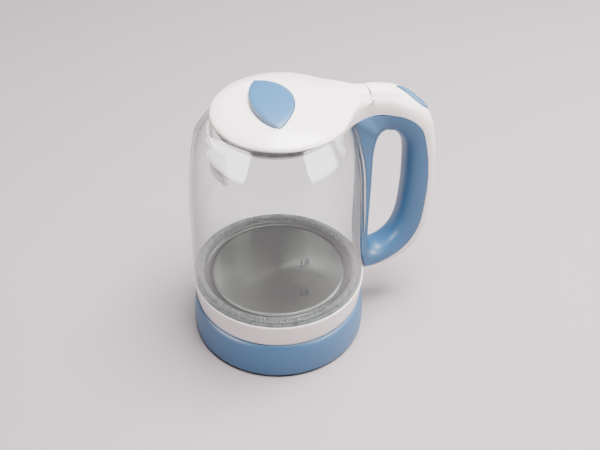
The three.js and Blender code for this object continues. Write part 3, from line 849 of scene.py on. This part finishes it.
# The blue shell's way back up the glass: inner edge, parting edge (X, Z), half width at each.
SPINE_WAY = [
    ((82.6, 67.4), (80, 51.5), 14.2, 14.2), ((79.9, 69.8), (74.9, 52), 14.1, 14.1),
    ((78.5, 75), (72.5, 62), 14, 14), ((78.1, 84), (71, 80), 14, 14),
    ((78.0, 100), (71, 100), 14, 14), ((78.1, 120), (71, 120), 14, 14),
    ((78.2, 138), (70.6, 140), 14, 14), ((78.3, 152), (69.6, 156), 14, 14),
    ((78.8, 164), (67.4, 171), 13.8, 14), ((79.7, 172.5), (64.0, 185), 13.4, 14.4),
    ((80.9, 178.2), (60.4, 196), 13.1, 15), ((82.6, 182.0), (58.6, 204.4), 12.9, 16.4),
    ((84.3, 184.0), (70.5, 204.6), 12.8, 12.6),
]


def build_handle_shell(material):
    arc = 26
    gap = in_mm("part_gap") / 2
    power = 2 / sizes().grip_squareness
    rings = []
    for k in range(44):
        outer, inner, parting, half = grip_station(mix(0.1, 0.9, k / 43))
        edge = parting_turn(outer, inner, parting, -gap)
        turns = [mix(edge, 2 * math.pi - edge, j / arc) for j in range(arc + 1)]
        rings.append([section_point(outer, inner, half, a) for a in turns])
    steps = 4 * (len(SPINE_WAY) - 1)
    for k in range(steps + 1):
        inner, parting = (spline([row[j] for row in SPINE_WAY], k / steps) for j in (0, 1))
        halves = spline([row[2:] for row in SPINE_WAY], k / steps)
        depth = (parting - inner).length
        way = (parting - inner) / depth
        reach = min(depth, 13)
        ring = []
        for j in range(arc + 1):
            angle = math.pi / 2 - math.pi * j / arc
            along = reach * (1 - abs(math.cos(angle)) ** power)
            along = depth if j in (0, arc) else along
            width = mix(halves[0], halves[1], along / depth)
            p = inner + way * along
            side = math.sin(angle)
            ring.append(Vector((p.x, width * math.copysign(abs(side) ** power, side), p.y)))
        rings.append(ring)
    rings = [[*ring, mix(ring[-1], ring[0], 0.5)] for ring in rings]

    def place(column, row):
        return rings[row][column]

    shell = wrapped("handle_shell_loop", arc + 2, len(rings), place, closed_rows=True)
    cut(shell, jug_block("jug_tool", 0.3))
    smooth(shell, 40)
    return finish_piece(shell, material, "kettle", "blue_plastic", "handle_shell")


# ---- Jug, seal and plate ----
def spout_push(z, x, y):
    up = clamp((z - SPOUT_START) / (GLASS_HIGH.z - SPOUT_START))
    across = clamp(1 - abs(math.atan2(y, -x)) / sizes().spout_angle)
    return in_mm("spout_reach") * up ** 1.7 * across ** 1.35


def build_glass(material):
    wall = in_mm("glass_wall")
    rows = 30
    outer = [spline(GLASS_OUTER, k / rows) for k in range(rows + 1)]
    inner = [Vector((p.x - wall, p.y)) for p in outer]
    middle = wall / 2
    rim_x, rim_z = outer[-1].x - middle, GLASS_HIGH.z - middle
    rim = [
        Vector((rim_x + middle * math.cos(a), rim_z + middle * math.sin(a)))
        for a in (math.pi * k / 6 for k in range(7))
    ]
    profile = [*outer[:-1], *rim, *reversed(inner[:-1])]
    columns = 192

    def place(column, row):
        r, z = profile[row]
        angle = 2 * math.pi * column / columns
        x, y = r * math.cos(angle), r * math.sin(angle)
        scale = 1 + spout_push(z, x, y) / r
        return x * scale, y * scale, z

    jug = wrapped("glass_jug_wall", columns, len(profile), place, closed_rows=True)
    return finish_piece(jug, material, "kettle", "clear_glass", "glass_jug")


def build_seal(material):
    beads = sizes().seal_beads
    columns = beads * 6
    low, high = box_mm("seal_ring")
    profile = [
        (63.8, low.z + 0.1, 0), (high.x - 0.1, low.z + 0.1, 0), (high.x - 0.1, 58.1, 0), (68.2, 58.2, 0),
        (68.2, 59.4, 0.6), (68.0, 60.8, 1), (67.2, 62.0, 1), (66.3, 62.5, 0.9), (65.5, 61.9, 0.25),
        (64.8, 62.2, 0.9), (63.9, 61.6, 1), (63.5, 60.2, 0.9), (63.5, 58.6, 0.4),
    ]

    def place(column, row):
        r, z, bead = profile[row]
        angle = 2 * math.pi * column / columns
        shift = math.pi / beads if r < 65.5 else 0
        bulge = bead * (abs(math.cos((angle + shift) * beads / 2)) ** 0.8 - 1)
        r += 0.7 * bulge * (1 if r > 65.8 else -1)
        z += 1.3 * bulge
        return r * math.cos(angle), r * math.sin(angle), z

    seal = wrapped("seal_ring_beads", columns, len(profile), place, closed_rows=True, degrees=60)
    return finish_piece(seal, material, "kettle", "clear_silicone", "seal_ring")


def build_plate(material):
    plate = turned("heating_plate_dish", [
        (0, 53.6), (56, 53.6), (60, 52.6), (PLATE_HIGH.x, 54.3), (PLATE_HIGH.x, 55.6),
        (64.5, 55.6), (63.4, 56.2), (62.6, 56.4), (61.9, 56.1), (61.2, 55.2), (60.4, 54.5),
        (59.5, 54.25), (58.4, 54.3), (57.4, 54.7), (56.6, 55.4), (56.0, 55.85),
        (55.2, PLATE_HIGH.z - 0.02), (30, PLATE_HIGH.z - 0.01), (0, PLATE_HIGH.z),
    ], steps=160, edge=0.15)
    return finish_piece(plate, material, "kettle", "brushed_steel", "heating_plate")


def build_body_ring(material):
    ring = turned("body_ring_band", [
        (68.9, RING_LOW.z), (69.7, RING_LOW.z), (70.3, RING_LOW.z + 0.7), (70.9, 40), (71.5, 45),
        (72.1, 50), (72.6, 54.5), (RING_HIGH.x, 57), (RING_HIGH.x - 0.3, RING_HIGH.z),
        (71.7, RING_HIGH.z), (71.5, 57), (71.5, 54), (69, 53), (68.6, 42),
    ], steps=160, edge=0.3)
    return finish_piece(ring, material, "kettle", "white_plastic", "body_ring")


def build_level_marks(material):
    """Numbers and ticks printed on the outside of the glass."""
    marks = [(92.0, "0.5"), (122.6, "1.0")]
    parts = []
    for z, text in marks:
        bpy.ops.object.text_add()
        word = bpy.context.object
        word.data.body = text
        word.data.size = 6.3 * MM
        word.data.offset = 0.1 * MM
        word.data.extrude = 0.03 * MM
        word.data.align_x = "CENTER"
        pick(word)
        bpy.ops.object.convert(target="MESH")
        parts.append((bpy.context.object, z + 0.9))
        deselect()
        bpy.ops.mesh.primitive_grid_add(x_subdivisions=16, y_subdivisions=1, size=1)
        tick = bpy.context.object
        for vertex in tick.data.vertices:
            vertex.co = Vector((vertex.co.x * 8, vertex.co.y * 0.8, 0)) * MM
        apply_modifier(tick, "SOLIDIFY", thickness=0.06 * MM, offset=0)
        parts.append((tick, z - 0.6))
    for piece, z in parts:
        for vertex in piece.data.vertices:
            height = z + vertex.co.y / MM
            radius = glass_radius(height) + 0.08 + vertex.co.z / MM
            angle = vertex.co.x / MM / radius - math.pi / 2
            vertex.co = Vector((radius * math.cos(angle), radius * math.sin(angle), height)) * MM
    deselect()
    for piece, _z in parts:
        piece.select_set(True)
    bpy.context.view_layer.objects.active = parts[0][0]
    bpy.ops.object.join()
    print_layer = bpy.context.object
    print_layer.name = "level_marks"
    return finish_piece(print_layer, material, "kettle", "black_plastic")


# ---- Power base and the pieces underneath ----
def build_base(blue, black, rubber):
    shell = turned("base_shell_drum", [
        (73.0, BASE_LOW.z), (73.7, BASE_LOW.z + 0.8), (BASE_HIGH.x, 5), (BASE_HIGH.x, 12), (73.8, 18),
        (73.4, 23), (72.8, 28), (72.2, 31.2), (71.2, 33.6), (70.2, 34.6), (69, BASE_HIGH.z),
        (66, BASE_HIGH.z), (64, 33.5), (21.9, 33.5), (21.9, 31), (67, 31), (70.5, 26), (71.5, 18),
        (71.5, BASE_LOW.z),
    ], steps=160, edge=0.3)
    finish_piece(shell, blue, "power_base", "blue_plastic", "base_shell")
    cover = turned("base_underside", [
        (0, 1), (29.6, 1), (31.5, 2.5), (71.1, 2.5), (71.1, 4.7), (0, 4.7),
    ])
    finish_piece(cover, black, "power_base", "black_plastic", "base_bottom_cover")
    for k in range(1, 5):
        low, high = box_mm(f"base_foot_{k}")
        middle, radius = (low + high) / 2, (high.x - low.x) / 2
        foot = turned(f"foot_pad_{k}", [
            (0, 0), (radius - 0.8, 0), (radius, 0.7), (radius, high.z), (0, high.z),
        ], (middle.x, middle.y), 48, 0.15)
        finish_piece(foot, rubber, "power_base", "black_rubber", f"base_foot_{k}")


def dress_frame_nodes(looks):
    """Materials for the CAD nodes that stay."""
    for row in frame["record"]["subparts"]:
        node = frame["nodes"][row["node"]]
        if node.hide_render:
            continue
        node.data.materials.clear()
        node.data.materials.append(looks[row["material_slot"]])
        pick(node)


# ---- Stage ----
VIEW_AZIMUTH = math.radians(-16.9)
VIEW_PITCH = math.radians(40.1)
VIEW_PLACE = Vector((-0.1574, -0.5456, 0.5829))


def build_camera():
    back = Vector((
        math.sin(VIEW_AZIMUTH) * math.cos(VIEW_PITCH), -math.cos(VIEW_AZIMUTH) * math.cos(VIEW_PITCH),
        math.sin(VIEW_PITCH),
    ))
    bpy.ops.object.camera_add(location=VIEW_PLACE)
    camera = bpy.context.object
    camera.rotation_mode = "QUATERNION"
    camera.rotation_quaternion = (-back).to_track_quat("-Z", "Y")
    camera.data.lens = 54
    camera.data.sensor_width = 36
    camera.data.shift_x = 0.0208
    camera.data.clip_start = 0.01
    bpy.context.scene.camera = camera


def build_floor():
    deselect()
    bpy.ops.mesh.primitive_grid_add(x_subdivisions=8, y_subdivisions=8, size=8)
    floor = bpy.context.object
    floor.name = "floor"
    maker = Maker("floor_paper", Specular_IOR_Level=0.15)
    base = tuple(colours().floor)
    maker.into(
        Base_Color=maker.ramp(maker.noise(2, 2), shaded(base, 0.98), shaded(base, 1.02)),
        Roughness=0.7 + maker.noise(300, 2) * 0.1,
    )
    floor.data.materials.append(maker.material)


def area_light(name, place, aim, size, energy, tint=(1, 1, 1)):
    bpy.ops.object.light_add(type="AREA", location=place)
    light = bpy.context.object
    light.name = name
    light.data.shape = "RECTANGLE"
    light.data.size, light.data.size_y = size
    light.data.energy = energy
    light.data.color = tint
    way = Vector(aim) - Vector(place)
    light.rotation_mode = "QUATERNION"
    light.rotation_quaternion = way.to_track_quat("-Z", "Y")
    return light


WINDOW_POWER = 26
WINDOW_SIZE = (0.8, 0.5)
WINDOW_TINT = (1.0, 0.96, 0.95)


def build_lights():
    """A panel overhead, a fill at the right and two windows that only reflections show."""
    world = bpy.data.worlds.new("studio")
    bpy.context.scene.world = world
    world.use_nodes = True
    world.node_tree.nodes["Background"].inputs["Color"].default_value = (0.94, 0.95, 1.0, 1)
    world.node_tree.nodes["Background"].inputs["Strength"].default_value = 0.2
    centre = (0.02, 0, 0.12)
    for side, place in (("left", (-0.96, -0.18, 0.44)), ("right", (0.72, -0.66, 0.44))):
        window = area_light(
            f"{side}_window", place, centre, WINDOW_SIZE, WINDOW_POWER, WINDOW_TINT
        )
        window.visible_diffuse = False
    area_light("side_panel", (1.0, 0.1, 0.5), centre, (0.6, 0.6), 11)
    area_light("top_panel", (0.22, -0.10, 1.4), centre, (0.9, 0.8), 92)


# ---- Add-on: operators, panel and registration ----
class KettleStep:
    bl_options = {"REGISTER", "UNDO"}


def material(name, make):
    """The kettle's own material of that name, made at its first use."""
    return bpy.data.materials.get(f"kettle_{name}") or make()


class KETTLE_OT_stage(KettleStep, bpy.types.Operator):
    """Adds the camera, the lights and the floor"""

    bl_idname = "kettle.stage"
    bl_label = "Stage"

    def execute(self, context):
        build_camera()
        build_floor()
        build_lights()
        return {"FINISHED"}


class KETTLE_OT_base(KettleStep, bpy.types.Operator):
    """Models the power base: drum, underside and feet"""

    bl_idname = "kettle.base"
    bl_label = "Power base"

    def execute(self, context):
        build_base(
            material("blue_plastic", blue_plastic), material("black_plastic", black_plastic),
            material("foot_rubber", foot_rubber),
        )
        return {"FINISHED"}


class KETTLE_OT_heater(KettleStep, bpy.types.Operator):
    """Models the lower ring, the heating plate and the beaded seal"""

    bl_idname = "kettle.heater"
    bl_label = "Ring, plate and seal"

    def execute(self, context):
        build_body_ring(material("white_plastic", white_plastic))
        build_plate(material("brushed_plate", brushed_plate))
        build_seal(material("clear_silicone", clear_silicone))
        return {"FINISHED"}


class KETTLE_OT_jug(KettleStep, bpy.types.Operator):
    """Models the glass jug with its spout and level marks"""

    bl_idname = "kettle.jug"
    bl_label = "Glass jug"

    def execute(self, context):
        build_glass(material("clear_glass", clear_glass))
        build_level_marks(material("printed_marks", printed_marks))
        return {"FINISHED"}


class KETTLE_OT_lid(KettleStep, bpy.types.Operator):
    """Models the lid: cover, tab, liner and seal"""

    bl_idname = "kettle.lid"
    bl_label = "Lid"

    def execute(self, context):
        build_lid_cover(material("white_plastic", white_plastic))
        build_lid_tab(material("blue_plastic", blue_plastic))
        build_lid_inside(
            material("white_plastic", white_plastic), material("clear_silicone", clear_silicone)
        )
        return {"FINISHED"}


class KETTLE_OT_handle(KettleStep, bpy.types.Operator):
    """Models the handle's outer cover, inner shell and switch"""

    bl_idname = "kettle.handle"
    bl_label = "Handle"

    def execute(self, context):
        build_handle_cover(material("white_plastic", white_plastic))
        build_handle_shell(material("blue_plastic", blue_plastic))
        build_switch(material("blue_plastic", blue_plastic))
        build_hinge_pin(material("plain_steel", plain_steel))
        return {"FINISHED"}


class KETTLE_OT_small_parts(KettleStep, bpy.types.Operator):
    """Gives the CAD nodes that stay their materials"""

    bl_idname = "kettle.small_parts"
    bl_label = "Small parts"

    def execute(self, context):
        white = material("white_plastic", white_plastic)
        steel = material("plain_steel", plain_steel)
        dress_frame_nodes({
            "white_plastic": white,
            "blue_plastic": material("blue_plastic", blue_plastic),
            "black_plastic": material("black_plastic", black_plastic),
            "black_rubber": material("foot_rubber", foot_rubber),
            "brushed_steel": steel,
            "fastener_steel": steel,
            "brass": plain_metal("contact_brass", (0.66, 0.45, 0.17), 0.3),
            "aluminium": plain_metal("cast_aluminium", (0.50, 0.51, 0.52), 0.45),
            "clear_glass": material("clear_glass", clear_glass),
            "clear_silicone": material("clear_silicone", clear_silicone),
            "filter_mesh": moulded("filter_mesh", (0.72, 0.73, 0.74), 0.5, 0.4),
            "wire_red": moulded("wire_red", (0.40, 0.05, 0.04), 0.4),
            "wire_grey": moulded("wire_grey", (0.25, 0.27, 0.30), 0.4),
        })
        return {"FINISHED"}


STEPS = (
    KETTLE_OT_stage, KETTLE_OT_base, KETTLE_OT_heater, KETTLE_OT_jug, KETTLE_OT_lid,
    KETTLE_OT_handle, KETTLE_OT_small_parts,
)


class KETTLE_PT_panel(bpy.types.Panel):
    """Lists the kettle's pieces, sizes and colours"""

    bl_label = "Glass kettle"
    bl_idname = "KETTLE_PT_panel"
    bl_space_type = "VIEW_3D"
    bl_region_type = "UI"
    bl_category = "Kettle"

    def draw(self, context):
        for step in STEPS:
            self.layout.operator(step.bl_idname, text=step.bl_label)
        for group in (context.scene.kettle_sizes, context.scene.kettle_colours):
            for name in group.__annotations__:
                self.layout.prop(group, name)


CLASSES = (KettleSizes, KettleColours, *STEPS, KETTLE_PT_panel)


def register():
    for cls in CLASSES:
        bpy.utils.register_class(cls)
    bpy.types.Scene.kettle_sizes = PointerProperty(type=KettleSizes)
    bpy.types.Scene.kettle_colours = PointerProperty(type=KettleColours)


def unregister():
    del bpy.types.Scene.kettle_colours
    del bpy.types.Scene.kettle_sizes
    for cls in reversed(CLASSES):
        bpy.utils.unregister_class(cls)


def main():
    register()
    for step in STEPS:
        group, name = step.bl_idname.split(".")
        getattr(getattr(bpy.ops, group), name)()
    deselect()


if __name__ == "__main__":
    main()
